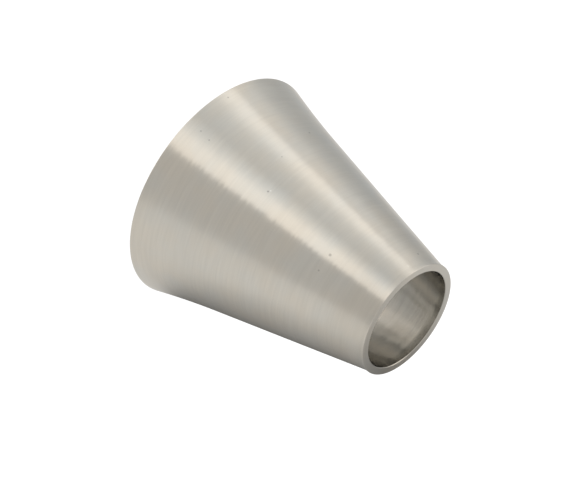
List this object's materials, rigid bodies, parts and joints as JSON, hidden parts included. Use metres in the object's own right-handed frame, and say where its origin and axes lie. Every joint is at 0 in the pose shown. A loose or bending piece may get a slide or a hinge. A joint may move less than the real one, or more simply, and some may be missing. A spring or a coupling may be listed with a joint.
{
  "type": "concentric reducer",
  "caption": "Short conical pipe reducer with thin even wall, square-cut ends for butt welding and a narrow straight land at the small end; joins a large tube to a small one on one axis.",
  "frame": {"origin": "centre of the large end's face", "axes": "+Z along the axis from the large end to the small end; +X and +Y are any two directions square to it, because the part is round"},
  "size_m": [0.0506, 0.0506, 0.0525],
  "materials": {
    "satin_stainless": "satin stainless steel, brushed round the axis, with bare deburred ends"
  },
  "bodies": {
    "root": {"reducer_body": "satin_stainless"}
  },
  "joints": []
}
